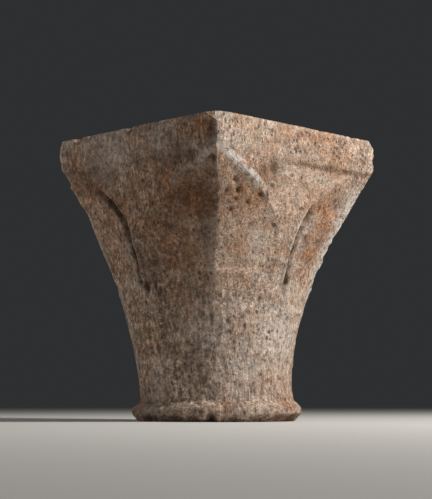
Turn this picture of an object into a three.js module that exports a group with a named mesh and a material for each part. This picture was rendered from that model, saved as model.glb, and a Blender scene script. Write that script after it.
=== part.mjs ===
// A small Gothic capital, carved from one block of limestone.
// A round neck with a ring flares into a square abacus. Each corner is cut back into a broad plain
// leaf, folded along its arris, and between two leaves a spandrel of the block's face stands proud.
// Millimetres, +Z up, the origin in the middle of the lower bed. The front corner is at +X -Y.

import * as THREE from 'three';
import * as BufferGeometryUtils from 'three/addons/utils/BufferGeometryUtils.js';

// Driving dimensions

const capitalHeight = 300;
const abacusSide = 243;
const abacusHeight = 36;
const neckDiameter = 162;
const ringBandHeight = 14;
const ringChamferHeight = 8;
const ringProjection = 9.2;
const ringUndercut = 4.5;
const faceSetback = 2;
const faceBow = 3;
const arrisSetback = 3.6;
const soffitWear = 2;
const soffitRound = 8;
const topWear = 1.2;
const cornerWear = 1.6;
const spandrelTipWidth = 20;
const grooveDepth = 8;
const grooveWidth = 9;
const grooveLip = 2;
const rimHeight = 2.5;
const rimWidth = 17;
const dishDepth = 5;
const neckLean = 3.8;
const cornerChipHeight = 14;
const shoulderWear = 5;

// The carving's own proportions, as shares of the bell's height from the ring to the soffit

const flareStart = 0.05;
const flareBend = 1.7;
const faceSwell = 0.72;
const swellStart = 0.22;
const swellEnd = 0.8;
const spreadStart = 0.6;
const neckEnd = 0.2;
const arrisSoftEnd = 0.33;
const arrisSharpStart = 0.6;
const leafFoot = 0.51;
const grooveFade = 0.03;
const grooveEnd = 0.9;
const rimStart = 0.8;
const rimFull = 0.93;
const dishHeight = 0.79;
const dishSpread = 0.14;

// Each leaf is cut by hand: how wide it is where it meets the abacus, how full its outline bends, and
// how much of the groove's depth is beside it. The corners are at +X +Y, -X +Y, -X -Y and +X -Y.

const leaves = [
  { tipWidth: 18, bend: 3.6, grooved: 1 },
  { tipWidth: 16, bend: 3, grooved: 0.9 },
  { tipWidth: 18, bend: 3.1, grooved: 1 },
  { tipWidth: 8, bend: 2.8, grooved: 0.12 },
];

// Breaks: how far each corner of the abacus is chipped at the top, and how much further the chip runs
// along the side than into it. Then the chips along the ring's lower edge, as the angle round the axis
// and the spread in degrees, and the depth, and how far the flank over a chip rises for its depth.

const cornerChips = [4.5, 8, 1.5, 6];
const cornerChipRun = 1.6;
const ringChips = [
  [-125, 5, 3], [-98, 4, 2], [-72, 5, 2], [-48, 2.5, 4.5], [-30, 5, 2], [-12, 6, 2.5],
  [10, 9, 4], [34, 12, 6], [62, 6, 3], [112, 9, 4], [168, 12, 3], [205, 6, 2.5],
];
const ringChipRise = 0.4;

// Heights and radii that follow from them

const bellBottom = ringBandHeight + ringChamferHeight;
const bellTop = capitalHeight - abacusHeight;
const neckRadius = neckDiameter / 2;
const ringRadius = neckRadius + ringProjection;
const abacusHalf = abacusSide / 2;

const mix = (from, to, share) => from + (to - from) * share;
const ramp = THREE.MathUtils.smoothstep;

// Distance of the corner arris from the axis, measured along the face, at a share of the bell's height.
function arrisOffset(share) {
  const rise = Math.max(0, share - flareStart) / (1 - flareStart);
  return mix(neckRadius * Math.SQRT1_2, abacusHalf - arrisSetback, rise ** flareBend);
}

// Width of the face from its middle to the leaf, which bends out towards the corner.
function spandrelHalf(share, leaf) {
  const rise = Math.max(0, share - leafFoot) / (1 - leafFoot);
  const topHalf = arrisOffset(1) - leaf.tipWidth;
  return mix(spandrelTipWidth / 2, topHalf, rise ** leaf.bend);
}

// Distance of the bell's face from the axis: it swells out of the neck, stands nearly upright and
// spreads once more under the abacus. It is round at the neck and slightly bowed at the top.
function faceOffset(share, along) {
  const swell = faceSwell * ramp(share, swellStart, swellEnd);
  const spread = (1 - faceSwell) * (Math.max(0, share - spreadStart) / (1 - spreadStart)) ** 2;
  const middle = mix(neckRadius, abacusHalf - faceSetback, swell + spread);
  const round = along ** 2 / (2 * neckRadius) * (1 - ramp(share, neckEnd, leafFoot));
  const bow = faceBow * ramp(share, leafFoot, 1) * (along / arrisOffset(1)) ** 2;
  return middle - round - bow;
}

// Groove cut into the leaf, or rim standing out round its head, at a distance past the spandrel's edge.
function edgeRelief(share, past, grooved) {
  const start = ramp(share, leafFoot - grooveFade, leafFoot);
  const end = 1 - ramp(share, grooveEnd - grooveFade, grooveEnd + grooveFade);
  const trough = ramp(past, 0, grooveLip) * (1 - ramp(past, grooveLip, grooveWidth));
  const rimmed = ramp(share, rimStart, rimFull);
  const round = ramp(past, -rimWidth, -rimWidth / 2) * (1 - ramp(past, 0, rimWidth / 2));
  return rimHeight * rimmed * round - grooveDepth * grooved * start * end * trough;
}

// How far the leaf swells past the straight line from its edge to its arris. Low down the section
// runs into the round neck, and at the head the leaf is scooped out, deepest a third of the way to the
// arris, where step * (1 - step) ** 2 has its peak of 4 / 27.
function leafBow(share, step, leafWidth, turnToArris) {
  const softArris = 1 - ramp(share, arrisSoftEnd, arrisSharpStart);
  const dish = dishDepth * Math.exp(-(((share - dishHeight) / dishSpread) ** 2));
  const swell = softArris * leafWidth * Math.tan(turnToArris) * step * (1 - step);
  return swell - dish * step * (1 - step) ** 2 / (4 / 27);
}

// Sections of the bell

const spandrelSteps = [0, 0.5, 0.88, 0.94, 1];
const leafSteps = [0.04, 0.09, 0.17, 0.3, 0.47, 0.64, 0.82, 1];

// Half of one side, from the middle of the face to the corner arris, as points (along, out).
function halfSection(share, leaf) {
  const half = spandrelHalf(share, leaf);
  const edge = faceOffset(share, half);
  const corner = arrisOffset(share);
  const points = spandrelSteps.map((step) => {
    const along = half * step;
    return [along, faceOffset(share, along) + edgeRelief(share, along - half, leaf.grooved)];
  });
  const slope = Math.atan2(edge - corner, corner - half);
  const leafWidth = Math.hypot(edge - corner, corner - half);
  for (const step of leafSteps) {
    const swell = leafBow(share, step, leafWidth, Math.PI / 4 - slope);
    const relief = edgeRelief(share, step * leafWidth, leaf.grooved) * (1 - step ** 2);
    const along = mix(half, corner, step) + swell * Math.sin(slope);
    points.push([along, mix(edge, corner, step) + swell * Math.cos(slope) + relief]);
  }
  return points;
}

// The same count of points on a circle, or on a square with its corners worn and chipped.
function roundHalf(radius) {
  return halfSection(0, leaves[0]).map(([along, out]) => {
    const angle = Math.atan2(along, out);
    return [radius * Math.sin(angle), radius * Math.cos(angle)];
  });
}

function squareHalf(side, chipped, leaf) {
  const top = halfSection(1, leaf);
  const last = top.length - 1;
  const shoulder = side - shoulderWear - cornerChipRun * chipped;
  return top.map(([along], index) => {
    if (index === last) return [side - cornerWear - chipped, side - cornerWear - chipped];
    return [shoulder * along / top[last - 1][0], side];
  });
}

// Depth of the breaks in the ring's lower edge, at an angle round the axis.
function ringBreak(angle) {
  let depth = 0;
  for (const [degrees, spread, bite] of ringChips) {
    const apart = Math.cos(angle - THREE.MathUtils.degToRad(degrees)) - 1;
    depth = Math.max(depth, bite * Math.exp(apart / THREE.MathUtils.degToRad(spread) ** 2));
  }
  return depth;
}

// One closed ring of points, going round counterclockwise. Each side runs from the corner before it to
// its own corner, and halfAt gives the half of a side that ends at a corner.
function ringOf(halfAt, z, lean = 0) {
  const shift = -lean * Math.SQRT1_2;
  const points = [];
  for (let turn = 0; turn < 4; turn += 1) {
    const before = halfAt((turn + 3) % 4);
    const after = halfAt(turn);
    const side = [
      ...before.slice(1, -1).reverse().map(([along, out]) => [-along, out]),
      ...after,
    ];
    const angle = turn * Math.PI / 2;
    for (const [along, out] of side) {
      const x = out * Math.cos(angle) - along * Math.sin(angle);
      const y = out * Math.sin(angle) + along * Math.cos(angle);
      points.push(new THREE.Vector3(x + shift, y + shift, z));
    }
  }
  return points;
}

// The block's skin, ring by ring from the lower bed to the upper one

// The lower ring stands on the bed. Where a chip is out, the edge draws in and the flank rises.
function ringRings() {
  const profile = [
    { height: 0, lift: 0, worn: 1, bite: 1 },
    { height: 0.2, lift: ringChipRise, worn: 0.3, bite: 0.6 },
    { height: 0.5, lift: ringChipRise, worn: 0, bite: 0.1 },
    { height: 1, lift: 0, worn: 0.2, bite: 0 },
  ];
  return profile.map(({ height, lift, worn, bite }) => {
    const points = ringOf(() => roundHalf(ringRadius - ringUndercut * worn), ringBandHeight * height);
    for (const point of points) {
      const depth = ringBreak(Math.atan2(point.y, point.x));
      const shrink = 1 - bite * depth / ringRadius;
      point.set(point.x * shrink, point.y * shrink, point.z + lift * depth);
    }
    return points;
  });
}

// The bell leans a little out of plumb, by neckLean a third of the way up, where share * (1 - share) ** 2
// has its peak of 4 / 27.
function bellRings() {
  const rows = 36;
  const rings = [];
  for (let row = 0; row <= rows; row += 1) {
    const share = row / rows;
    const lean = neckLean * share * (1 - share) ** 2 / (4 / 27);
    const halfAt = (corner) => halfSection(share, leaves[corner]);
    rings.push(ringOf(halfAt, mix(bellBottom, bellTop, share), lean));
  }
  return rings;
}

// The abacus, with its lower edge rounded by wear and its upper corners chipped.
function abacusRings() {
  const profile = [
    { z: bellTop + soffitRound * 0.15, side: abacusHalf - soffitWear, chipped: 0 },
    { z: bellTop + soffitRound * 0.5, side: abacusHalf - soffitWear * 0.4, chipped: 0 },
    { z: bellTop + soffitRound, side: abacusHalf, chipped: 0 },
    { z: capitalHeight - cornerChipHeight, side: abacusHalf, chipped: 0 },
    { z: capitalHeight - cornerChipHeight * 0.4, side: abacusHalf, chipped: 0.5 },
    { z: capitalHeight - topWear, side: abacusHalf, chipped: 0.9 },
    { z: capitalHeight, side: abacusHalf - topWear, chipped: 1 },
  ];
  return profile.map(({ z, side, chipped }) => {
    const halfAt = (corner) => squareHalf(side, chipped * cornerChips[corner], leaves[corner]);
    return ringOf(halfAt, z);
  });
}

// Skins the rings and closes both beds.
function skinRings(rings) {
  const count = rings[0].length;
  const positions = [];
  const triangle = (...corners) => {
    for (const corner of corners) positions.push(corner.x, corner.y, corner.z);
  };
  for (let row = 0; row + 1 < rings.length; row += 1) {
    const low = rings[row];
    const high = rings[row + 1];
    for (let index = 0; index < count; index += 1) {
      const next = (index + 1) % count;
      triangle(low[index], low[next], high[next]);
      triangle(low[index], high[next], high[index]);
    }
  }
  const bottom = rings[0];
  const top = rings[rings.length - 1];
  const bottomMiddle = new THREE.Vector3(0, 0, bottom[0].z);
  const topMiddle = new THREE.Vector3(0, 0, top[0].z);
  for (let index = 0; index < count; index += 1) {
    const next = (index + 1) % count;
    triangle(bottomMiddle, bottom[next], bottom[index]);
    triangle(topMiddle, top[index], top[next]);
  }
  const geometry = new THREE.BufferGeometry();
  geometry.setAttribute('position', new THREE.Float32BufferAttribute(positions, 3));
  return BufferGeometryUtils.mergeVertices(geometry, 1e-3);
}

const rings = [...ringRings(), ...bellRings(), ...abacusRings()];

const limestone = new THREE.MeshStandardMaterial({ color: 0xb39a86, roughness: 0.95, metalness: 0 });
limestone.flatShading = true;

const capital = new THREE.Mesh(skinRings(rings), limestone);
capital.name = 'capital';

const group = new THREE.Group();
group.add(capital);

export default group;
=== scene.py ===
# %% [markdown]
# # A small Gothic capital in weathered limestone
# The capital is one block of stone. A ring and a round neck stand on the shaft, the neck flares into a
# square, and a plain slab, the abacus, closes it at the top. A broad leaf is folded along each corner.
# The plain block comes in with its true sizes, and this lesson gives it the skin of old cut stone:
# crisp and worn edges, tool marks, pits, breaks and stains.

# %% Load the block
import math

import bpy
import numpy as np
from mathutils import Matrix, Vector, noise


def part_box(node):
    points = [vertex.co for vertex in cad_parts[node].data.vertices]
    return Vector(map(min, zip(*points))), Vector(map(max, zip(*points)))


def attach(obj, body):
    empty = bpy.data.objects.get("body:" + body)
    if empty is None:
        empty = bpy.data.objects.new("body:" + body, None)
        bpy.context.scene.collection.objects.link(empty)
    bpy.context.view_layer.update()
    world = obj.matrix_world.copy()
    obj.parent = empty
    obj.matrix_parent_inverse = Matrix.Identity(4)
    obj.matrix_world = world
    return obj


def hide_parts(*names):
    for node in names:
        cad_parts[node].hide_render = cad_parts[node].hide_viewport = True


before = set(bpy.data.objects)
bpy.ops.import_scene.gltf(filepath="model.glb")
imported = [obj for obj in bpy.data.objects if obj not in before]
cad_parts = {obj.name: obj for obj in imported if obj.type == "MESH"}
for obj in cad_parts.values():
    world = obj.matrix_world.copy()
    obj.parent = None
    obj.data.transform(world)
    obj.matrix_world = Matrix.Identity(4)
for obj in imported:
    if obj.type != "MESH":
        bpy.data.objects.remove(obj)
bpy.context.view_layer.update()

# %% [markdown]
# ## Measures
# Blender counts in metres and a mason in millimetres, so one name turns one into the other. The shape
# is worked out as a grid of numbers, which handles all its points at once. Two small helpers are used
# everywhere: one mixes two values, the other rises softly from nothing to one.

MM = 0.001


def mix(start, end, share):
    """Goes from start to end as the share goes from 0 to 1."""
    return start + (end - start) * share


def ramp(value, low, high):
    """Rises softly from 0 to 1 between low and high."""
    share = np.clip((value - low) / (high - low), 0, 1)
    return share * share * (3 - 2 * share)


lowest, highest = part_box("capital")
capital_height = highest[2] - lowest[2]
abacus_side = highest[0] - lowest[0]
print("capital", round(capital_height / MM), "mm high,", round(abacus_side / MM), "mm square")

# %% [markdown]
# ## The camera
# The capital is looked at corner-on, from just above the floor and slightly upwards, so the soffit of
# the abacus rises to both sides. A wide lens close by would make the corner bulge, so a long lens
# looks from one and a half metres away.

# %% Camera
camera_distance = 1.481
camera_height = 0.0205
camera_aside = 1.2 * MM
camera_pitch = math.radians(6.26)

towards_camera = Vector((1, -1, 0)).normalized()
picture_right = Vector((1, 1, 0)).normalized()
upwards = Vector((0, 0, 1))

camera_data = bpy.data.cameras.new("camera")
camera_data.lens = 100
camera_data.sensor_width = 36
camera = bpy.data.objects.new("camera", camera_data)
bpy.context.scene.collection.objects.link(camera)
camera.location = towards_camera * camera_distance - picture_right * camera_aside
camera.location.z = camera_height
looking = upwards * math.sin(camera_pitch) - towards_camera * math.cos(camera_pitch)
camera.rotation_euler = looking.to_track_quat("-Z", "Y").to_euler()
bpy.context.scene.camera = camera
print("camera looks up", round(math.degrees(camera_pitch), 1), "degrees")

# %% [markdown]
# ## The floor
# The stone stands on a plain pale floor. One large square face is enough, because its edge lies far
# behind the stone. A matt colour is chosen, so that it sends soft light up under the abacus.

# %% Floor
floor_size = 6.0
floor_turns = [(-1, -1), (1, -1), (1, 1), (-1, 1)]
floor_corners = [(x * floor_size / 2, y * floor_size / 2, 0) for x, y in floor_turns]

floor_mesh = bpy.data.meshes.new("floor")
floor_mesh.from_pydata(floor_corners, [], [(0, 1, 2, 3)])
floor = bpy.data.objects.new("floor", floor_mesh)
bpy.context.scene.collection.objects.link(floor)
floor_paint = bpy.data.materials.new("pale floor")
floor_paint.use_nodes = True
floor_shader = floor_paint.node_tree.nodes["Principled BSDF"]
floor_shader.inputs["Base Color"].default_value = (0.52, 0.51, 0.49, 1)
floor_shader.inputs["Roughness"].default_value = 0.8
floor_mesh.materials.append(floor_paint)
print("floor", floor_size, "m wide")

# %% [markdown]
# ## The light
# Carved stone is read by raking light. A soft lamp far to the right picks out every tooth mark and
# leaves the left side in shade. A weak lamp on the left keeps that side readable, and a third one,
# weaker still and nearly in front, opens the hollows. Discs are used, because their shadows have soft
# edges, and one helper aims them all at the middle of the capital.

# %% Lamps
capital_middle = Vector((0, 0, capital_height / 2))
warm_white = (1, 0.97, 0.93)
cool_sky = (0.9, 0.95, 1, 1)
sky_strength = 0.03


def soft_lamp(name, turn, rise, distance, size, watts, colour=warm_white):
    """A round lamp, so many degrees right of the camera and above level, aimed at the capital."""
    data = bpy.data.lights.new(name, "AREA")
    data.shape = "DISK"
    data.size = size
    data.energy = watts
    data.color = colour
    lamp = bpy.data.objects.new(name, data)
    bpy.context.scene.collection.objects.link(lamp)
    turn, rise = math.radians(turn), math.radians(rise)
    level = towards_camera * math.cos(turn) + picture_right * math.sin(turn)
    aim = level * math.cos(rise) + upwards * math.sin(rise)
    lamp.location = capital_middle + aim * distance
    lamp.rotation_euler = (-aim).to_track_quat("-Z", "Y").to_euler()
    print(name, watts, "watts at", distance, "m")


soft_lamp("key lamp", turn=70, rise=40, distance=1.45, size=0.42, watts=30.5)
soft_lamp("left lamp", turn=-100, rise=14, distance=1.0, size=0.4, watts=2.6)
soft_lamp("front lamp", turn=30, rise=8, distance=2.0, size=0.8, watts=2.1, colour=(1, 0.98, 0.96))

world = bpy.data.worlds.new("studio")
world.use_nodes = True
world.node_tree.nodes["Background"].inputs["Color"].default_value = cool_sky
world.node_tree.nodes["Background"].inputs["Strength"].default_value = sky_strength
bpy.context.scene.world = world
bpy.context.scene.view_settings.view_transform = "Standard"

# %% [markdown]
# ## The shape of the block
# A mason sets such a capital out from its two ends: a circle on the lower bed and a square on the upper
# one. Between them every level cut through the block is a closed line, so the shape is built as one
# line of points for each level. Half of one side is drawn, from the middle of the face to the corner,
# and the rest follows by turning and mirroring.

# %% Sizes of the carving
abacus_height = 36 * MM
neck_radius = 81 * MM
ring_band = 14 * MM
ring_chamfer = 8 * MM
ring_projection = 9.2 * MM
face_setback = 2 * MM
face_bow = 3 * MM
arris_setback = 3.6 * MM
groove_depth = 8 * MM
groove_foot_width = 11 * MM
groove_head_width = 19 * MM
groove_lip = 2 * MM
rim_height = 1.3 * MM
rim_width = 24 * MM
dish_depth = 1.8 * MM
neck_lean = 3.8 * MM

bell_bottom = ring_band + ring_chamfer
bell_top = capital_height - abacus_height
ring_radius = neck_radius + ring_projection
abacus_half = abacus_side / 2
print("bell from", round(bell_bottom / MM), "to", round(bell_top / MM), "mm above the lower bed")

# %% [markdown]
# ## The four leaves
# Each leaf is cut by hand, so no two are alike. The near one has a raised rim round its head and hardly
# any groove beside it. The others have a groove and less of a rim. A few numbers are enough to tell
# them apart: the width at the abacus, how full the outline bends, how far from the middle of the face
# it ends below, the strength of the groove and where it starts to fade, and how far the head is rimmed.

# %% Leaves, at +X +Y, -X +Y, -X -Y and +X -Y
leaves = [
    {"tip": 18 * MM, "bend": 3.6, "foot": 6 * MM, "grooved": 1, "fades": 0.72, "headed": 0.3},
    {"tip": 16 * MM, "bend": 3, "foot": 10 * MM, "grooved": 0.9, "fades": 0.8, "headed": 0.6},
    {"tip": 18 * MM, "bend": 3.1, "foot": 10 * MM, "grooved": 1, "fades": 0.84, "headed": 0.3},
    {"tip": 8 * MM, "bend": 2.8, "foot": 10 * MM, "grooved": 0.03, "fades": 0.8, "headed": 1},
]
print(len(leaves), "leaves,", round(leaves[3]["tip"] / MM), "mm wide at the abacus on the near corner")

# %% [markdown]
# ## Profiles of the bell
# Seen from the side, the face swells out of the neck and then spreads under the abacus, while the arris
# of the corner sweeps out in one long curve. Both are written as functions of the share of the bell's
# height, so that every level can be asked for its own width.

# %% Profiles
leaf_start = 0.51
rim_start = 0.8
dish_middle = 0.79


def hump(share):
    """Rises from 0 to 1 at a third of the way and falls back to 0."""
    return share * (1 - share) ** 2 / (4 / 27)


def arris_offset(share):
    """How far the corner arris stands from the axis, measured along the face."""
    rise = max(0, share - 0.05) / 0.95
    return mix(neck_radius * math.sqrt(0.5), abacus_half - arris_setback, rise ** 1.7)


def spandrel_half(share, leaf):
    """The width of the flat face from its middle to the leaf."""
    rise = max(0, share - leaf_start) / (1 - leaf_start)
    return mix(leaf["foot"], arris_offset(1) - leaf["tip"], rise ** leaf["bend"])


def face_offset(share, along):
    """How far the face stands from the axis: it swells out of the neck and spreads under the abacus."""
    swell = 0.72 * ramp(share, 0.22, 0.8)
    spread_out = 0.28 * (max(0, share - 0.6) / 0.4) ** 2
    middle = mix(neck_radius, abacus_half - face_setback, swell + spread_out)
    round_neck = along ** 2 / (2 * neck_radius) * (1 - ramp(share, 0.2, leaf_start))
    bow = face_bow * ramp(share, leaf_start, 1) * (along / arris_offset(1)) ** 2
    return middle - round_neck - bow


print("half a face is", round(face_offset(1, 0) / MM, 1), "mm from the axis under the abacus")

# %% [markdown]
# ## Grooves and rims
# A mason cuts a groove beside a leaf with a narrow gouge, deep at its foot and running out above, and
# leaves a lip on the leaf's side. Round the head the stone is left standing as a rim instead. Both are
# given as shares from 0 to 1 past the leaf's edge, because the same shares later guide dirt and chalk.

# %% Groove, rim and bow of a leaf


def groove_and_rim(share, past, leaf):
    """Shares of the groove beside the leaf's edge and of the rim round its head, past the edge."""
    fading = 1 - ramp(share, leaf["fades"], leaf["fades"] + 0.14)
    grooved = leaf["grooved"] * ramp(share, leaf_start - 0.03, leaf_start) * fading
    width = mix(groove_foot_width, groove_head_width, ramp(share, 0.52, 0.8))
    trough = ramp(past, 0, groove_lip) * (1 - ramp(past, 2 * groove_lip, width))
    headed = leaf["headed"] * ramp(share, rim_start, 0.93)
    rim = ramp(past, -0.75 * rim_width, -0.25 * rim_width) * (1 - ramp(past, 0, 0.75 * rim_width))
    lip = ramp(past, -5 * MM, -MM) * (1 - ramp(past, 0, groove_lip))
    return grooved * trough, np.maximum(headed * rim, 0.8 * grooved * lip)


def leaf_bow(share, steps, width, turn, headed):
    """How far the leaf swells past the straight line from its edge to the arris, or is scooped out."""
    soft_arris = 1 - ramp(share, 0.33, 0.6)
    swell = soft_arris * width * math.tan(turn) * steps * (1 - steps)
    dish = headed * dish_depth * math.exp(-(((share - dish_middle) / 0.14) ** 2))
    return swell - dish * hump(steps)


deepest = max(leaf["grooved"] for leaf in leaves) * groove_depth
print("grooves up to", round(deepest / MM, 1), "mm deep, rims up to", round(rim_height / MM, 1), "mm high")

# %% [markdown]
# ## Half a side
# On each level half a side runs from the middle of the face over the leaf to the arris. More points are
# set close to the leaf's edge, where the groove is, and fewer where the stone is flat.

# %% Half a side of the bell
spandrel_columns = 36
leaf_columns = 34
half_columns = spandrel_columns + leaf_columns
spandrel_steps = 1 - (1 - np.linspace(0, 1, spandrel_columns, endpoint=False)) ** 1.35
leaf_steps = np.linspace(0, 1, leaf_columns + 1) ** 1.25


def half_section(share, leaf):
    """From the middle of the face to the corner arris: along, out, and the shares of groove and rim."""
    half = spandrel_half(share, leaf)
    corner = arris_offset(share)
    edge = face_offset(share, half)
    face_along = half * spandrel_steps
    slope = math.atan2(edge - corner, corner - half)
    width = math.hypot(edge - corner, corner - half)
    swell = leaf_bow(share, leaf_steps, width, math.pi / 4 - slope, leaf["headed"])
    leaf_along = mix(half, corner, leaf_steps) + swell * math.sin(slope)
    leaf_out = mix(edge, corner, leaf_steps) + swell * math.cos(slope)
    along = np.append(face_along, leaf_along)
    out = np.append(face_offset(share, face_along), leaf_out)
    fading = np.append(np.ones(spandrel_columns), 1 - leaf_steps ** 2)
    past = np.append(face_along - half, leaf_steps * width)
    groove, rim = [amount * fading for amount in groove_and_rim(share, past, leaf)]
    return np.column_stack([along, out + rim_height * rim - groove_depth * groove, groove, rim])


print("half a side has", half_columns + 1, "points")

# %% [markdown]
# ## Round and square ends
# The ring and the foot of the neck are turned circles, and the abacus is a square with slightly worn
# corners. Their half sides have as many points as the bell's, so that the levels join one to one.

# %% Half a side of the ring and of the abacus


def plain_half(along, out):
    """A half section without groove or rim."""
    return np.column_stack([along, out, np.zeros((len(along), 2))])


def round_half(radius):
    """An eighth of a circle."""
    angles = np.linspace(0, math.pi / 4, half_columns + 1)
    return plain_half(radius * np.sin(angles), radius * np.cos(angles))


def square_half(side, corner_radius, evenness, leaf):
    """Half a side of the abacus. Its points close up as the bell's do, or are spread evenly."""
    like_bell = half_section(1, leaf)[:, 0] / arris_offset(1)
    along = side * mix(like_bell, np.linspace(0, 1, half_columns + 1), evenness)
    past = np.clip((along - (side - corner_radius)) / corner_radius, 0, 1)
    bend = past * math.pi / 4
    straight = np.minimum(along, side - corner_radius)
    return plain_half(straight + corner_radius * np.sin(bend), side - corner_radius * (1 - np.cos(bend)))


print("circle of", round(2 * neck_radius / MM), "mm, square of", round(2 * abacus_half / MM), "mm")

# %% [markdown]
# ## From levels to a grid
# Eight half sides make one closed line, and one line above another makes a grid of points. A grid is
# easy to roughen, smooth and measure, because the neighbours of each point are known.

# %% Closed lines


def closed_line(half_at, z, lean=0.0):
    """One level, counterclockwise: each side runs from the corner before it to its own corner."""
    shift = -lean * math.sqrt(0.5)
    sides = []
    for turn in range(4):
        before = half_at((turn + 3) % 4)[1:-1][::-1] * [-1, 1, 1, 1]
        side = np.concatenate([before, half_at(turn)])
        along, out, shares = side[:, 0], side[:, 1], side[:, 2:]
        cosine, sine = math.cos(turn * math.pi / 2), math.sin(turn * math.pi / 2)
        x = out * cosine - along * sine + shift
        y = out * sine + along * cosine + shift
        sides.append(np.column_stack([x, y, np.full(len(side), z), shares]))
    return np.concatenate(sides)


print("a closed line has", len(closed_line(lambda corner: round_half(neck_radius), 0)), "points")

# %% [markdown]
# ## The ring
# The ring, or astragal, hides the joint with the shaft. It is undercut below, fullest in the middle and
# slopes back to the neck on top. On a lathe it would be a profile turned about the axis, and so it is
# here: the radius is read off the profile at each height.

# %% Levels of the ring, in millimetres
ring_profile = [(0, 85.7), (2.8, 88.9), (7, 90.2), (13, 89.6), (14.5, 88.6), (22, 81)]
ring_heights = [0, 1, 2.2, 3.6, 5.2, 7, 9, 11, 13, 14.3, 15.8, 17.6, 19.4, 20.9]


def ring_level(height):
    radius = np.interp(height, *zip(*ring_profile)) * MM
    return closed_line(lambda corner: round_half(radius), height * MM)


ring_levels = [ring_level(height) for height in ring_heights]
print(len(ring_levels), "levels in the ring")

# %% [markdown]
# ## The bell
# The bell grows from the round neck to the square. Its points are first spread evenly round the neck
# and draw together towards the leaves' edges higher up. The neck also leans a few millimetres to the
# left, as the real one does, because it was cut by eye and not turned on a lathe.

# %% Levels of the bell
bell_rows = 112


def spread_evenly(section, evenness):
    """Moves the points along their own line, from where they are towards equal steps."""
    steps = np.hypot(*np.diff(section[:, :2], axis=0).T)
    places = np.append(0, np.cumsum(steps)) / steps.sum()
    wanted = mix(places, np.linspace(0, 1, len(section)), evenness)
    return np.column_stack([np.interp(wanted, places, column) for column in section.T])


def bell_level(share):
    roundness = 1 - ramp(share, 0, 0.12)
    evenness = 1 - ramp(share, 0.36, 0.54)

    def half_at(corner):
        section = spread_evenly(half_section(share, leaves[corner]), evenness)
        return mix(section, round_half(neck_radius), roundness)

    return closed_line(half_at, mix(bell_bottom, bell_top, share), neck_lean * hump(share))


bell_levels = [bell_level(row / bell_rows) for row in range(bell_rows + 1)]
print(len(bell_levels), "levels in the bell")

# %% [markdown]
# ## The abacus
# The abacus is a plain slab. Its lower edge is worn round, its face is upright and its upper edge only
# a little worn. The wear is a second small profile: how far each level is set back.

# %% Levels of the abacus, in millimetres
abacus_wear = [(0.9, 2.3), (4, 1.5), (8, 0.7), (14, 0.2), (20, 0), (34.2, 0.2), (36, 1.3)]
abacus_heights = [
    0.9, 2.2, 4, 6.5, 9, 11.2, 13.4, 15.6, 17.8, 20, 22.2, 24.4, 26.6, 28.8, 30.8, 32.6, 34.2, 35.3, 36,
]


def abacus_level(height):
    side = abacus_half - np.interp(height, *zip(*abacus_wear)) * MM
    corner_radius = mix(3.4, 4.6, height / 36) * MM
    evenness = ramp(height, 0, 16)

    def half_at(corner):
        return square_half(side, corner_radius, evenness, leaves[corner])

    return closed_line(half_at, bell_top + height * MM)


abacus_levels = [abacus_level(height) for height in abacus_heights]
skin, in_groove, on_rim = np.split(np.stack(ring_levels + bell_levels + abacus_levels), [3, 4], axis=2)
in_groove, on_rim = in_groove[..., 0], on_rim[..., 0]
print("grid of", skin.shape[0], "levels by", skin.shape[1], "points")

# %% [markdown]
# ## The hand of the mason and the wear of centuries
# Nothing cut by hand is quite true, and nothing stays as it was cut. The next cells push, soften and
# dent the grid of points. They need four helpers: smooth noise, the direction that faces outwards,
# a softened copy of the grid, and soft round patches that pick out a place.

# %% Helpers for the wear


def noise_at(points, lump, seed, stretch=(1, 1, 1)):
    """Smooth noise from -1 to 1 with lumps of about that size, longer where stretch is larger."""
    size = lump * np.array(stretch)
    away = Vector((3.1 * seed, 1.7 * seed, 2.3 * seed))
    flat = (points / size).reshape(-1, 3)
    values = [noise.noise(Vector(place) + away) for place in flat]
    return np.array(values).reshape(points.shape[:-1])


def normals_of(grid):
    """The direction that faces outwards at each point."""
    across = np.roll(grid, -1, axis=1) - np.roll(grid, 1, axis=1)
    upward = np.gradient(grid, axis=0)
    normal = np.cross(across, upward)
    return normal / np.linalg.norm(normal, axis=2, keepdims=True)


def softened(grid, passes):
    """Each point moves towards the mean of its four neighbours."""
    for _ in range(passes):
        beside = (np.roll(grid, 1, axis=1) + np.roll(grid, -1, axis=1)) / 2
        padded = np.concatenate([grid[:1], grid, grid[-1:]])
        above = (padded[:-2] + padded[2:]) / 2
        grid = grid / 2 + (beside + above) / 4
    return grid


def patches(places):
    """Soft round patches, each given by its middle and its reach in millimetres and its strength."""
    amount = np.zeros(skin.shape[:2])
    for x, y, z, reach, strength in places:
        gap = np.linalg.norm(skin - np.array([x, y, z]) * MM, axis=2) / (reach * MM)
        amount = np.maximum(amount, strength * np.exp(-gap * gap))
    return amount


def moved(grid, direction, distance):
    """Each point moves by its own distance along its own direction."""
    return grid + direction * distance[..., None]


# %% [markdown]
# ## Cut by eye
# A slow noise pushes the whole form about by a millimetre or less. It pushes in all three directions,
# so that straight edges waver too, but both beds stay level, because a mason checks those.

# %% Push the form about
push = np.stack([noise_at(skin, 45 * MM, seed) for seed in (1, 2, 3)], axis=2)
push += 0.45 * np.stack([noise_at(skin, 13 * MM, seed) for seed in (21, 22, 23)], axis=2)
near_top = ramp(skin[..., 2], capital_height - 6 * MM, capital_height)
bed_free = ramp(skin[..., 2], 0, 6 * MM) * (1 - near_top)
push[..., 2] *= bed_free
skin = skin + push * 1.1 * MM
print("pushed about by up to", round(float(np.abs(push).max()) * 1.1, 2), "mm")

# %% [markdown]
# ## Worn edges
# Edges that stand out wear more than flats. A bevel would make all of them alike. Instead, only what
# lies outside the softened grid is taken down, here more and there less.

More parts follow.
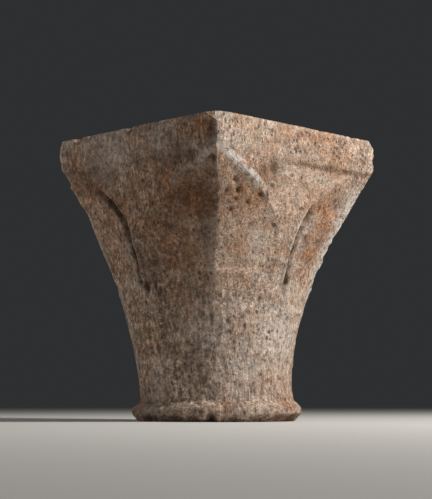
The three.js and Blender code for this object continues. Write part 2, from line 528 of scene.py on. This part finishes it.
# %% Wear the edges
for _ in range(3):
    normal = normals_of(skin)
    inward = np.sum((softened(skin, 1) - skin) * normal, axis=2)
    worn = np.where(inward < 0, 0.55 + 0.45 * noise_at(skin, 14 * MM, 4), 0.12)
    skin = moved(skin, normal, inward * worn)
print("edges worn by up to", round(float(np.abs(inward * worn).max()) / MM, 2), "mm in the last pass")

# %% [markdown]
# ## Washed by the weather
# The lower edge of the abacus has almost melted into the face below, less so over the near rim and at
# the right corner. The edge of the near leaf is washed out below its head, too. Softening the grid in
# those places alone does what rain has done.

# %% Wash out the soft places
washed = 1 - ramp(np.abs(skin[..., 2] - bell_top - 4 * MM), 7 * MM, 16 * MM)
washed *= 1 - patches([(116, -92, 252, 20, 0.8)])
washed *= 1 - patches([(119, 119, 262, 16, 1.0)])
skin = mix(skin, softened(skin, 26), washed[..., None])
worn_leaf_edge = patches([(110, -48, 228, 16, 0.9), (104, -30, 206, 18, 1.0), (98, -18, 186, 16, 0.8)])
skin = mix(skin, softened(skin, 10), worn_leaf_edge[..., None])
print("washed over", round(float((washed > 0.5).mean()) * 100), "per cent of the grid")

# %% [markdown]
# ## Chipped arrises
# Knocks take small chips out of a sharp arris. A noise with small lumps says where, and the points
# there are drawn in towards the axis by up to three millimetres.

# %% Chip the four arrises above the neck
chip_depth = 3.2 * MM
from_arris = np.abs(np.abs(skin[..., 0]) - np.abs(skin[..., 1])) / (6 * MM)
chipped = np.clip(noise_at(skin, 12 * MM, 31) + 0.5 * noise_at(skin, 5 * MM, 32), 0, 1)
chipped *= np.exp(-(from_arris ** 2)) * ramp(skin[..., 2], 110 * MM, 160 * MM) * bed_free
from_axis = np.linalg.norm(skin[..., :2], axis=2)
skin[..., :2] *= (1 - chip_depth * chipped / from_axis)[..., None]
print("chipped by up to", round(float(chipped.max()) * chip_depth / MM, 2), "mm")

# %% [markdown]
# ## Tool marks and grain
# Three noises dent the surface along its own direction: broad hollows left by the chisel, upright
# strokes of the claw chisel, weaker on the right where the stone is rubbed, and the grain of the stone.
# The broken ring is rougher than the rest.

# %% Dent the surface
dents = 0.75 * noise_at(skin, 26 * MM, 5)
lit_face = ramp(skin[..., 0], 84 * MM, 104 * MM)
chisel_strokes = mix(0.45, 0.15, lit_face) * noise_at(skin, 6.5 * MM, 6, stretch=(1, 1, 4))
coarse_grain = 0.36 * noise_at(skin, 5.5 * MM, 7) + 0.22 * noise_at(skin, 3 * MM, 8)
on_ring = (1 - ramp(skin[..., 2], 15 * MM, 25 * MM)) * bed_free
coarse_grain += 0.9 * noise_at(skin, 9 * MM, 14) * on_ring
roughness = dents + chisel_strokes + coarse_grain
normal = normals_of(softened(skin, 2))
skin = moved(skin, normal, roughness * MM)
print("roughened by up to", round(float(np.abs(roughness).max()), 2), "mm")

# %% [markdown]
# ## What is left of the abacus's lower edge
# Towards the outer corners the lower edge still shows, as a shallow notch. It is pressed in where a thin
# level band and a row of patches meet. The same product later darkens the notch as painted shadow under the
# abacus.

# %% Notch under the abacus
notch_depth = 1.6 * MM
notch_places = [
    (-104, -120, 265, 28, 1.0), (-60, -118, 263, 30, 0.8), (20, -119, 265, 40, 0.7),
    (74, -118, 263, 26, 0.8), (118, -26, 257, 22, 0.5), (118, 4, 259, 24, 0.8),
    (118, 42, 261, 30, 1.0), (118, 86, 261, 26, 1.0), (-120, 0, 264, 150, 0.6),
    (0, 120, 264, 150, 0.6),
]
edge_height = (skin[..., 2] - bell_top + 3 * MM * lit_face) / (3 * MM)
under_edge = np.exp(-(edge_height ** 2)) * patches(notch_places)
skin = moved(skin, normal, -under_edge * notch_depth)
print("notch up to", round(float(under_edge.max()) * notch_depth / MM, 2), "mm deep")

# %% [markdown]
# ## Pits
# The stone is porous, and weather has opened some of its pores to pits of two to five millimetres. The
# block is divided into small cells, each with its own chance of a pit and its own width, and a slow
# noise gathers the pits in patches.

# %% Scattered pits
pit_cell = 9 * MM
pit_width = 2.6 * MM
pit_depth = 2.2 * MM
least_chance = 0.25

pitted = np.zeros(skin.shape[:2])
for row, column in np.ndindex(pitted.shape):
    place = Vector(skin[row, column]) / pit_cell
    distances, centres = noise.voronoi(place)
    chance = noise.cell(centres[0] * 7.3)
    width = pit_width * mix(0.45, 1.3, chance)
    gap = distances[0] * pit_cell
    if chance > least_chance:
        pitted[row, column] = chance ** 2 * math.exp(-((gap / width) ** 2))
in_patches = 0.35 + 0.65 * ramp(noise_at(skin, 38 * MM, 9), -0.25, 0.35)
near_leaf_head = patches([(92, -84, 226, 34, 0.8)])
pitted *= (in_patches + near_leaf_head) * bed_free
print("scattered pits over", round(float((pitted > 0.2).mean()) * 100, 1), "per cent of the grid")

# %% [markdown]
# ## Single holes
# Some holes are too plain to leave to chance: the drilled ends of the grooves, the hollow left of the
# near corner, and the larger pits on the near leaf and the neck. Each one has its own place, half its
# width, half its height and its depth.

# %% Single holes, in millimetres
single_holes = [
    (89, 10, 139, 4, 8, 5), (-8, -95, 137, 3.5, 7, 5), (11, -94, 133, 3, 6, 3),
    (-91, -6, 140, 3, 7, 5), (-12, 94, 138, 3, 7, 4), (113, -122, 281, 4, 10, 2.5),
    (108, -113, 256, 5, 4, 4), (68, -106, 232, 2.5, 3, 3), (105, -75, 228, 2.6, 3, 4.5),
    (97, -78, 209, 2.4, 2.4, 4), (103, -89, 226, 2.3, 2.8, 4), (110, -49, 226, 2.3, 2.4, 4),
    (102, -60, 218, 2.4, 2.4, 4), (102, -75, 219, 2.2, 2.2, 3.5), (107, -83, 238, 2.2, 3, 3),
    (118, -33, 281, 2.5, 3, 2), (120, -5, 288, 2, 4, 2.5), (116, -36, 254, 8, 9, 2.5),
    (62, -118, 262, 12, 5, 2), (-76, -118, 262, 14, 4, 1.5), (40, 112, 240, 4, 5, 3),
    (-110, 30, 235, 5, 4, 3), (-118, -80, 285, 4, 3, 2.5), (55, -76, 109, 1.6, 2, 3),
    (61, -70, 106, 1.7, 3, 3), (72, -57, 101, 2, 2.4, 2.5), (5, -95, 139, 2.5, 5, 3.5),
    (79, -40, 96, 1.8, 2.4, 2.5), (86, -26, 124, 1.6, 2.2, 3), (-12, -80, 30, 2, 4, 2),
    (34, -75, 45, 2.5, 2, 2.5),
]
for x, y, z, wide, high, deep in single_holes:
    across = np.hypot(skin[..., 0] - x * MM, skin[..., 1] - y * MM) / (wide * MM)
    upright = (skin[..., 2] - z * MM) / (high * MM)
    hole = deep * MM / pit_depth * np.exp(-(across ** 2) - upright ** 2)
    pitted = np.maximum(pitted, hole)
skin = moved(skin, normal, -pitted * pit_depth)
print("holes down to", round(float(pitted.max()) * pit_depth / MM, 2), "mm")

# %% [markdown]
# ## Broken corners
# At the corners of the abacus pieces have broken off. A break is cut with a plane: what lies beyond the
# plane is pressed back on to it, and noise makes the new face rough. Cutting with another body would
# give the same face but leave a ragged mesh.

# %% Break the corners
corner_turns = [(1, 1), (-1, 1), (-1, -1), (1, -1)]
corner_chips = [4.5, 8, 1.5, 8]


def break_off(grid, place, facing, roughness=0.8):
    """Cuts with a plane through a place: whatever lies beyond it is pressed back on to a rough face."""
    facing = np.array(facing) / np.linalg.norm(facing)
    beyond = (grid - np.array(place)) @ facing
    rough = roughness * MM * (noise_at(grid, 9 * MM, 11) + 0.5 * noise_at(grid, 4 * MM, 12))
    beyond = np.maximum(beyond + rough, 0)
    beyond[0] = 0
    return grid - beyond[..., None] * facing


for (x, y), depth in zip(corner_turns, corner_chips):
    reach = abacus_half - (depth + 1.6) * MM
    skin = break_off(skin, (x * reach, y * reach, capital_height), (x * 7, y * 7, depth * 1.4))
print("corners broken by up to", max(corner_chips), "mm")

# %% [markdown]
# ## Bites out of the upper edge
# The upper edge has lost a few small pieces. Each bite presses the face in and fades out below. It is
# given by its place on the outer edge, half its width and its depth.

# %% Bite the upper edge, in millimetres
outer_edge = 122
edge_bites = [(-90, -122, 5, 7), (-8, -122, 4, 6), (-70, -122, 3, 3), (122, 84, 4, 4), (60, 122, 6, 5)]

for x, y, wide, deep in edge_bites:
    apart = np.hypot(skin[..., 0] - x * MM, skin[..., 1] - y * MM) / (wide * MM)
    high_up = ramp(skin[..., 2], capital_height - 9 * MM, capital_height)
    bite = deep * MM * np.exp(-(apart ** 2)) * high_up
    skin[..., :2] -= bite[..., None] * np.sign([x, y]) * (np.abs([x, y]) == outer_edge)
print(len(edge_bites), "bites")

# %% [markdown]
# ## The broken foot
# The lower edge of the ring is broken nearly all the way round. Each chip has its angle round the axis
# and its spread in degrees, and its depth in millimetres. The chips bite most at the very bottom, where
# the ring is weakest, and lift the stone a little off the bed.

# %% Chip the foot of the ring
ring_chips = [
    (-128, 5, 3), (-94, 8, 6), (-76, 8, 6.5), (-61, 6, 6), (-49, 2.5, 11), (-34, 6, 5), (-16, 8, 5),
    (4, 9, 6), (22, 10, 9), (40, 9, 9), (64, 6, 4), (112, 9, 5), (168, 12, 4), (205, 6, 3),
]
angle = np.arctan2(skin[..., 1], skin[..., 0])
bitten = np.zeros(angle.shape)
for degrees, width, depth in ring_chips:
    apart = np.cos(angle - math.radians(degrees)) - 1
    bitten = np.maximum(bitten, depth * MM * np.exp(apart / math.radians(width) ** 2))
low_down = skin[..., 2] / (13 * MM)
bite = bitten * np.interp(low_down, [0, 0.2, 0.5, 1], [1, 0.55, 0.1, 0])
skin[..., :2] *= (1 - bite / ring_radius)[..., None]
skin[..., 2] += 0.5 * bitten * (1 - ramp(low_down, 0.1, 0.9)) * ramp(low_down, 0, 0.08)
print(len(ring_chips), "chips, up to", round(float(bitten.max()) / MM, 1), "mm deep")

# %% [markdown]
# ## Closing the beds
# Both beds are cut flat, so that the stone sits without rocking. The outermost level is laid exactly on
# the plane, and lines with fewer and fewer points close it towards the middle.

# %% Beds
skin[0, :, 2] = 0
skin[-1, :, 2] = capital_height
levels_count, around = skin.shape[:2]
# How far each line inside a bed has shrunk, and whether it has half as many points as the one outside.
bed_lines = [(0.97, False), (0.9, True), (0.8, True), (0.62, False), (0.4, True), (0.2, False)]


def bed_faces(rim_start, rim_points, z, facing_down, first_free):
    """Closes a flat bed inside a closed line of points, halving the points from line to line."""
    points, faces = [], []
    outer = [rim_start + index for index in range(around)]
    for shrink, halve in bed_lines:
        stride = 2 if halve else 1
        inner_points = rim_points[:: len(rim_points) // (len(outer) // stride)] * shrink
        inner = [first_free + len(points) + index for index in range(len(inner_points))]
        points.extend([(x, y, z) for x, y in inner_points])
        for index in range(0, len(outer), stride):
            here, after = outer[index], outer[(index + 1) % len(outer)]
            if halve:
                last = outer[(index + 2) % len(outer)]
                low, high = inner[index // 2], inner[(index // 2 + 1) % len(inner)]
                faces.extend([(here, after, low), (after, high, low), (after, last, high)])
            else:
                faces.append((here, after, inner[(index + 1) % len(outer)], inner[index]))
        outer = inner
    middle = first_free + len(points)
    points.append((0, 0, z))
    faces.extend([(here, after, middle) for here, after in zip(outer, outer[1:] + outer[:1])])
    if facing_down:
        faces = [face[::-1] for face in faces]
    return points, faces


skin_points = skin.reshape(-1, 3)
head_rim = len(skin_points) - around
foot_points, foot_faces = bed_faces(0, skin[0, :, :2], 0, True, len(skin_points))
after_foot = len(skin_points) + len(foot_points)
head_points, head_faces = bed_faces(head_rim, skin[-1, :, :2], capital_height, False, after_foot)
print("each bed has", len(foot_faces), "faces")

# %% [markdown]
# ## The mesh
# The grid becomes one closed mesh: its own square faces between the levels, and the two beds. The
# carved skin is shaded smooth, because it has points enough, and the beds stay flat.

# %% Mesh


def skin_faces():
    """One four-sided face between each pair of neighbours on two levels."""
    faces = []
    for row in range(levels_count - 1):
        low, high = row * around, (row + 1) * around
        for index in range(around):
            after = (index + 1) % around
            faces.append((low + index, low + after, high + after, high + index))
    return faces


all_points = [tuple(point) for point in skin_points] + foot_points + head_points
capital_mesh = bpy.data.meshes.new("carved_capital")
capital_mesh.from_pydata(all_points, [], skin_faces() + foot_faces + head_faces)
capital_mesh.validate()
capital = bpy.data.objects.new("carved_capital", capital_mesh)
bpy.context.scene.collection.objects.link(capital)
is_skin = np.zeros(len(capital_mesh.polygons), dtype=bool)
is_skin[: (levels_count - 1) * around] = True
capital_mesh.polygons.foreach_set("use_smooth", is_skin)
triangles = sum(len(face.vertices) - 2 for face in capital_mesh.polygons)
print("carved_capital", len(all_points), "points,", triangles, "triangles")

# %% [markdown]
# ## Wear and hollows, measured from the form
# Hollows are later darkened with painted shade, and rubbing shows on edges. Both follow from the form: a
# point inside the softened surface is in a hollow, one outside it stands proud. The measures are kept on
# the points, and the stone's material reads them there by name.

# %% Proud, hollow, pitted and grooved


def keep_on_points(name, values):
    """Stores one number for each point. The beds' own points get none of it."""
    attribute = capital_mesh.attributes.new(name, "FLOAT", "POINT")
    full = np.zeros(len(capital_mesh.vertices), dtype=np.float32)
    full[: values.size] = values.ravel()
    attribute.data.foreach_set("value", full)
    print(name, "mean", round(float(values.mean()), 3))


smooth_skin = softened(skin, 14)
outwards = normals_of(softened(skin, 6))
standing = np.sum((skin - smooth_skin) * outwards, axis=2) / MM
neck_foot = np.exp(-(((skin[..., 2] - bell_bottom - 2 * MM) / (8 * MM)) ** 2))
keep_on_points("proud", np.clip(standing / 1.1, 0, 1))
# The hollow, pitted and groove measures later darken the colour as painted shade in these recesses.
keep_on_points("hollow", np.clip(-standing / 1.3, 0, 1) * (1 - 0.7 * neck_foot))
keep_on_points("pitted", np.clip(pitted * 1.1, 0, 1))
keep_on_points("groove", ramp(in_groove, 0.0, 0.25))

# %% [markdown]
# ## Where the tool marks are left
# The right side of the near corner has been rubbed and washed until its tool marks were gone. The
# others keep most of theirs, and the left face a little less than the neck.

# %% Tool marks
lost_marks = patches([
    (100, -60, 200, 80, 0.95), (119, 0, 280, 100, 0.9), (112, 60, 230, 70, 0.8),
    (84, 10, 90, 60, 0.5), (0, -110, 250, 130, 0.25),
])
keep_on_points("tooled", np.clip(1 - lost_marks, 0, 1))

# %% [markdown]
# ## Rust
# Iron in the stone has come out as rust-brown stains, most of all below the abacus and on the right
# leaf. Each stain is a soft round patch, which the material later frays with noise.

# %% Rust, in millimetres
rust = patches([
    (110, -121, 284, 14, 1.0), (96, -121, 289, 12, 1.0), (50, -106, 225, 22, 1.0),
    (14, -106, 200, 20, 0.7), (-44, -114, 238, 34, 1.0), (3, -114, 240, 30, 0.5),
    (42, -110, 236, 30, 1.0), (72, -102, 226, 30, 1.0), (-98, -119, 262, 26, 1.0),
    (-84, -104, 236, 20, 0.8), (104, -121, 287, 16, 0.9), (70, -121, 292, 16, 0.7),
    (40, -92, 172, 26, 0.9), (-40, -100, 196, 26, 0.5), (102, -70, 230, 20, 0.7),
    (108, -52, 222, 14, 0.8), (88, -56, 176, 16, 0.5), (-70, -121, 292, 18, 0.6),
    (104, 50, 224, 18, 1.0), (96, 62, 210, 22, 1.0), (88, 48, 178, 20, 1.0), (86, 40, 150, 16, 0.7),
    (121, 66, 275, 18, 0.6), (121, 30, 298, 22, 0.5), (86, 20, 12, 22, 0.9),
    (-60, -70, 10, 20, 0.8), (70, -56, 16, 12, 0.9), (-90, 60, 200, 40, 0.8),
    (-60, 100, 240, 40, 0.8), (60, 108, 220, 34, 0.7), (-112, -40, 250, 40, 0.8),
    (-80, -114, 250, 34, 0.8), (-70, -96, 205, 34, 0.5), (-56, -86, 165, 30, 0.45),
    (40, -88, 118, 20, 0.5),
])
keep_on_points("rust", rust)

# %% [markdown]
# ## Chalk and painted highlight
# Rubbed limestone turns chalky white, and the same pale colour also paints highlights: the rim of the near
# leaf's head and the groove lips, far paler on the side the key lamp lights, the arris on the right from
# the groove's foot up to the abacus, where the lamp grazes it, and a few places on the neck and the
# abacus, some of them painted light over shade.

# %% Chalk and painted highlight, in millimetres
chalk_and_highlight = patches([
    (118, -112, 296, 10, 0.5), (121, -112, 270, 14, 0.5), (94, -40, 182, 14, 0.5),
    (96, 30, 205, 8, 0.5), (92, 26, 180, 7, 0.6), (90, 22, 160, 6, 0.6), (84, 10, 88, 45, 0.55),
    (76, -40, 60, 40, 0.4), (-121, -118, 285, 22, 0.25), (-40, -121, 275, 30, 0.4),
    (-69, -121, 290, 12, 0.5), (45, -121, 282, 18, 0.3), (60, -71, 94, 26, 0.5),
    (-8, -80, 26, 16, 0.4),
])
lit_side = ramp(skin[..., 0], 70 * MM, 105 * MM) * ramp(skin[..., 0] + skin[..., 1], -40 * MM, 0)
# Painted highlight: the rim and the lips are paler on the side that faces the key lamp.
chalk_and_highlight = np.maximum(chalk_and_highlight, ramp(on_rim, 0.15, 0.9) * mix(0.1, 0.85, lit_side))
# Partly painted highlight: the arris on the right is made pale where the key lamp grazes it.
beside_arris = (skin[..., 0] - skin[..., 1]) / (19 * MM)
arris_height = ramp(skin[..., 2], 105 * MM, 150 * MM) * (1 - ramp(skin[..., 2], 236 * MM, 262 * MM))
on_right_arris = np.exp(-(beside_arris ** 2)) * arris_height * (skin[..., 0] > 0)
chalk_and_highlight = np.maximum(chalk_and_highlight, on_right_arris)
keep_on_points("chalk_and_highlight", chalk_and_highlight)

# %% [markdown]
# ## Grime and painted shade
# A brown film darkens the stone, partly real grime and partly painted shade: the shadow under the head of
# the near leaf, the shade on the left face, the shadow in the notch under the abacus and a darker ring,
# heavier on the shaded left side.

# %% Grime and painted shade, in millimetres
grime_and_shade = patches([
    (96, -107, 241, 16, 0.6), (86, -96, 218, 22, 1.0), (76, -88, 190, 20, 0.8),
    (70, -84, 165, 14, 0.5), (78, -104, 232, 26, 0.8), (54, -106, 222, 24, 0.9),
    (40, -104, 205, 26, 0.65), (110, -119, 278, 10, 0.8), (62, -118, 264, 15, 0.8),
    (42, -118, 263, 17, 0.8), (103, -80, 230, 12, 0.6), (-98, -118, 262, 17, 0.7),
    (-62, -117, 257, 20, 0.8), (-60, -106, 232, 16, 0.4), (-14, -104, 186, 20, 0.6),
    (-2, -97, 170, 22, 1.0), (30, -96, 165, 26, 0.4), (110, -100, 246, 15, 0.35),
    (100, -88, 224, 16, 0.8), (106, -90, 238, 15, 0.45), (102, -76, 226, 20, 0.6),
    (98, -70, 208, 14, 0.5), (92, -60, 185, 30, 0.3), (115, -40, 255, 10, 0.5),
    (-80, -117, 255, 14, 0.9), (-44, -117, 254, 14, 0.9), (6, -95, 150, 14, 0.9),
    (89, 12, 158, 12, 0.5), (106, -120, 271, 10, 0.8), (104, 72, 236, 12, 0.5),
    (90, 60, 190, 24, 0.35), (-20, -86, 8, 30, 0.5), (17, -80, 75, 24, 0.5),
    (14, -87, 110, 18, 0.5), (12, -93, 128, 14, 0.8), (114, -52, 247, 9, 0.7),
    (80, -117, 258, 10, 0.9), (80, -98, 210, 16, 1.0), (46, -86, 142, 20, 0.5),
    (80, -32, 66, 18, 0.45), (-66, -110, 240, 10, 0.7), (-58, -102, 226, 10, 0.7),
    (-50, -94, 206, 8, 0.5), (115, -48, 249, 10, 1.0), (80, -20, 36, 14, 0.4),
    (93, 30, 185, 13, 0.7), (108, 84, 234, 10, 0.5),
])
left_side = 1 - ramp(skin[..., 0] + skin[..., 1], -60 * MM, 10 * MM)
ring_grime_and_shade = ramp(skin[..., 2], 0, 7 * MM) * (1 - ramp(skin[..., 2], 12 * MM, 21 * MM))
# Painted shade: the ring is darkened, more on its left side, away from the key lamp.
grime_and_shade = np.maximum(grime_and_shade, ring_grime_and_shade * mix(0.35, 0.5, left_side))
# Painted shadow: the notch under the abacus's lower edge is darkened too.
grime_and_shade = np.maximum(grime_and_shade, under_edge)
keep_on_points("grime_and_shade", grime_and_shade)

# %% [markdown]
# ## Thin beds
# Limestone is laid down in beds, and some of them show as thin level lines across the bell, redder or
# paler than the rest. They waver a little and come and go, so noise bends and weakens them.

# %% Thin beds, in millimetres


def thin_beds(heights):
    """Level beds a few millimetres thick, a little wavy, at these heights."""
    wavy = skin[..., 2] / MM + 2.5 * noise_at(skin, 60 * MM, 41)
    beds = [np.exp(-(((wavy - height) / 3.2) ** 2)) for height in heights]
    return np.max(beds, axis=0) * (0.6 + 0.4 * noise_at(skin, 30 * MM, 42))


keep_on_points("thin_red_bed", thin_beds([157, 173, 205]))
keep_on_points("thin_pale_bed", thin_beds([164, 182, 118]))

# %% [markdown]
# ## Weathered limestone
# The stone is a warm, slightly pink limestone. Its colour is worked out from the place in the block and
# not painted on, so that it runs through edges as it does in real stone. It is made of many small
# steps, and each kind of step gets a helper with a plain name.

# %% A small kit for the material
stone = bpy.data.materials.new("weathered limestone")
stone.use_nodes = True
tree = stone.node_tree
stone_shader = tree.nodes["Principled BSDF"]
block_place = tree.nodes.new("ShaderNodeTexCoord").outputs["Object"]


def connect(socket, value):
    """Joins another node's output to a socket, or sets the socket to a plain value."""
    if isinstance(value, bpy.types.NodeSocket):
        tree.links.new(value, socket)
    else:
        socket.default_value = value


def sums(operation, first, second):
    made = tree.nodes.new("ShaderNodeMath")
    made.operation = operation
    connect(made.inputs[0], first)
    connect(made.inputs[1], second)
    return made.outputs["Value"]


def times(first, second):
    return sums("MULTIPLY", first, second)


def larger(first, second):
    return sums("MAXIMUM", first, second)


def spread(value, low, high, start=0.0, end=1.0):
    """Stretches the range from low to high over start to end, softly at both ends."""
    made = tree.nodes.new("ShaderNodeMapRange")
    made.interpolation_type = "SMOOTHSTEP"
    connect(made.inputs["Value"], value)
    for name, number in (("From Min", low), ("From Max", high), ("To Min", start), ("To Max", end)):
        made.inputs[name].default_value = number
    return made.outputs["Result"]


def measured(name):
    """A number that the points of the mesh carry."""
    made = tree.nodes.new("ShaderNodeAttribute")
    made.attribute_name = name
    return made.outputs["Fac"]


print("helpers for sums, ranges and measures are ready")

# %% [markdown]
# ## Patterns in the stone
# Two kinds of pattern are needed: clouds, which are noise with lumps of a chosen size, and cells, each
# with a middle and a chance of its own, for pores. Both can be stretched, because beds lie flat and
# tool marks stand upright.

# %% Clouds and cells


def place_scaled(stretch):
    """The place in the block, squeezed so that patterns come out longer or flatter."""
    mapping = tree.nodes.new("ShaderNodeMapping")
    mapping.inputs["Scale"].default_value = stretch
    tree.links.new(block_place, mapping.inputs["Vector"])
    return mapping.outputs["Vector"]


def clouds(lump, detail=2, stretch=(1, 1, 1), roughness=0.5):
    """Noise from 0 to 1 with lumps of about that many millimetres."""
    made = tree.nodes.new("ShaderNodeTexNoise")
    made.inputs["Scale"].default_value = 1 / (lump * MM)
    made.inputs["Detail"].default_value = detail
    made.inputs["Roughness"].default_value = roughness
    tree.links.new(place_scaled(stretch), made.inputs["Vector"])
    return made.outputs["Fac"]


def cells(size, stretch):
    """Cells of about that many millimetres: the distance from each one's middle, and its chances."""
    made = tree.nodes.new("ShaderNodeTexVoronoi")
    made.inputs["Scale"].default_value = 1 / (size * MM)
    tree.links.new(place_scaled(stretch), made.inputs["Vector"])
    chances = tree.nodes.new("ShaderNodeSeparateColor")
    tree.links.new(made.outputs["Color"], chances.inputs["Color"])
    return made.outputs["Distance"], chances.outputs


grain = clouds(3.4, 5, roughness=0.72)
fine_grain = clouds(1.5, 2, roughness=0.6)
mottle = clouds(13, 4, roughness=0.62)
strokes = clouds(3.2, 3, stretch=(1, 1, 0.2), roughness=0.6)
print("patterns for grain, fine grain, mottle and strokes")

# %% [markdown]
# ## Clouds, beds and stains
# The colour changes in clouds as wide as a hand, from brown to grey. Beds run level through the block,
# paler or redder, and the thin ones from above go over them. The rust stains get ragged edges, and
# small rusty freckles are strewn over everything.

# %% Ground colour of the stone
brown_stone = (0.40, 0.27, 0.19, 1)
grey_stone = (0.47, 0.36, 0.285, 1)
rust_brown = (0.38, 0.18, 0.085, 1)
pale_bed = (0.56, 0.44, 0.35, 1)
red_bed = (0.40, 0.235, 0.16, 1)


def tinted(amount, under, over, blend="MIX"):
    """Lays one colour over another by an amount."""
    made = tree.nodes.new("ShaderNodeMix")
    made.data_type = "RGBA"
    made.blend_type = blend
    made.clamp_factor = True
    connect(made.inputs["Factor"], amount)
    connect(made.inputs[6], under)
    connect(made.inputs[7], over)
    return made.outputs[2]


stone_colour = tinted(spread(clouds(38, 3), 0.38, 0.62), brown_stone, grey_stone)
bed_noise = clouds(60, 3, stretch=(0.6, 0.6, 6.5))
stain_edge = spread(clouds(16, 4), 0.34, 0.58, 0.3, 1)
for amount, colour in [
    (spread(bed_noise, 0.52, 0.68, 0, 0.55), pale_bed),
    (spread(bed_noise, 0.46, 0.34, 0, 0.45), red_bed),
    (times(measured("thin_pale_bed"), 0.6), pale_bed),
    (times(measured("thin_red_bed"), 0.7), red_bed),
    (times(measured("rust"), stain_edge), rust_brown),
    (spread(clouds(9, 3), 0.56, 0.7, 0, 0.5), rust_brown),
]:
    stone_colour = tinted(amount, stone_colour, colour)
print("ground colour of", len(tree.nodes), "nodes")

# %% [markdown]
# ## Pores and specks
# Close up the stone is full of dark pores, and between them lie smaller specks, drawn out upright like
# the tool marks. A pore is the middle of a cell. Its chance gives its size, patches gather the pores,
# and the grain makes their edges ragged.

# %% Pores and specks
pore_distance, pore_chances = cells(4.2, (1, 1, 0.75))
pore_size = spread(pore_chances["Red"], 0.35, 1.0, 0, 0.5)
pore_patches = spread(clouds(30, 2), 0.38, 0.6, 0.35, 1)
pore_depth = sums("SUBTRACT", times(pore_size, pore_patches), pore_distance)
ragged = sums("ADD", pore_depth, times(sums("SUBTRACT", grain, 0.5), 0.7))
pores = spread(ragged, 0.0, 0.14)

speck_distance, speck_chances = cells(2.6, (1, 1, 0.6))
speck_size = spread(speck_chances["Green"], 0.55, 1.0, 0, 0.46)
speck_patches = spread(mottle, 0.6, 0.4, 0.35, 1)
speck_depth = sums("SUBTRACT", times(speck_size, speck_patches), speck_distance)
specks = spread(speck_depth, -0.04, 0.1)
print("pores in cells of 4.2 mm, specks in cells of 2.6 mm")

# %% [markdown]
# ## Speckle and tool marks
# Grains of different sizes make the stone lighter and darker. Where the tool marks are left, the
# strokes of the claw chisel show as upright streaks about four millimetres apart, with small chipped
# marks between them. Their strong light and dark is partly painted shade and highlight of the marks.
# Every pattern multiplies the colour by a number round one.

# %% Lighter and darker
tooled = measured("tooled")
chipped_marks = clouds(4.5, 4, stretch=(1, 1, 0.8), roughness=0.72)
# Partly painted shade and highlight: streaks and chipped marks, strongest on the shaded left face and the
# neck, stand in for raking light.
for pattern, low, high, darkest, lightest, amount in [
    (grain, 0.28, 0.72, 0.58, 1.34, 1.0),
    (fine_grain, 0.3, 0.7, 0.72, 1.25, 1.0),
    (mottle, 0.3, 0.7, 0.74, 1.22, 1.0),
    (strokes, 0.34, 0.66, 0.66, 1.26, tooled),
    (chipped_marks, 0.36, 0.64, 0.48, 1.46, tooled),
]:
    shade = spread(pattern, low, high, darkest, lightest)
    stone_colour = tinted(amount, stone_colour, shade, "MULTIPLY")
print("speckled colour of", len(tree.nodes), "nodes")

# %% [markdown]
# ## Dirt
# Brown is laid in hollows, pits and grooves as painted shade, in pores and specks as the stone's own dark
# grain, and as a film of grime and painted shade. Where two of them meet the stronger one shows, so the
# largest of them is taken, not their sum.

# %% Dirt and painted shade
dirt_and_shade_brown = (0.10, 0.05, 0.026, 1)

grime_and_shade_here = measured("grime_and_shade")
# Painted shade: hollows, pits and grooves are darkened in the colour.
dirt_and_shade = times(times(measured("hollow"), spread(clouds(7, 3), 0.3, 0.65, 0.45, 1)), 0.75)
for darkening in [
    times(measured("pitted"), 0.8),
    times(pores, 0.8),
    times(grime_and_shade_here, spread(grain, 0.62, 0.36, 0.6, 1)),
    times(measured("groove"), spread(clouds(8, 3, roughness=0.65), 0.4, 0.6, 0.35, 1)),
    times(specks, 0.85),
]:
    dirt_and_shade = larger(dirt_and_shade, darkening)
stone_colour = tinted(dirt_and_shade, stone_colour, dirt_and_shade_brown)
print("dirty colour of", len(tree.nodes), "nodes")

# %% [markdown]
# ## Pale edges
# Edges that hands and weather have rubbed are paler and greyer, but not where grime and painted shade
# cover them. The chalk and painted highlight go over everything, most of all on the near leaf's rim and
# the arris on the right.

# %% Pale edges and painted highlight
rubbed_pale = (0.62, 0.53, 0.45, 1)
pale_chalk_and_highlight = (0.62, 0.58, 0.53, 1)

rubbed = times(measured("proud"), spread(clouds(6, 3), 0.35, 0.6, 0.1, 0.6))
rubbed = times(rubbed, sums("SUBTRACT", 1.0, grime_and_shade_here))
chalk_and_highlight_here = times(measured("chalk_and_highlight"), spread(clouds(5, 4), 0.36, 0.56))
stone_colour = tinted(rubbed, stone_colour, rubbed_pale)
# The chalk colour also paints highlights on the lit rim, the lips and the right arris.
stone_colour = tinted(chalk_and_highlight_here, stone_colour, pale_chalk_and_highlight)
tree.links.new(stone_colour, stone_shader.inputs["Base Color"])
print("whole colour of", len(tree.nodes), "nodes")

# %% [markdown]
# ## Fine relief
# Weathered stone is matt. Grains, tool marks and pores are too fine to be cut into the mesh, so the
# patterns that colour the stone also shape its bump, and a dark pore is a real dent for the light.

# %% Roughness and bump
stone_shader.inputs["Specular IOR Level"].default_value = 0.22
tree.links.new(spread(grain, 0.3, 0.7, 0.98, 0.82), stone_shader.inputs["Roughness"])

raised = [times(grain, 2.4), times(fine_grain, 0.5), times(mottle, 1.6), times(times(strokes, tooled), 2.6)]
height = raised[0]
for pattern in raised[1:]:
    height = sums("ADD", height, pattern)
sunk = larger(pores, times(specks, 0.6))
height = sums("SUBTRACT", height, times(sunk, 1.3))

bump = tree.nodes.new("ShaderNodeBump")
bump.inputs["Distance"].default_value = 1 * MM
bump.inputs["Strength"].default_value = 1
tree.links.new(height, bump.inputs["Height"])
tree.links.new(bump.outputs["Normal"], stone_shader.inputs["Normal"])
capital_mesh.materials.append(stone)
print("stone material of", len(tree.nodes), "nodes")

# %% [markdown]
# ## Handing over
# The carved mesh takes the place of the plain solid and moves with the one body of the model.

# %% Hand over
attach(capital, "root")
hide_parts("capital")

bpy.context.view_layer.update()
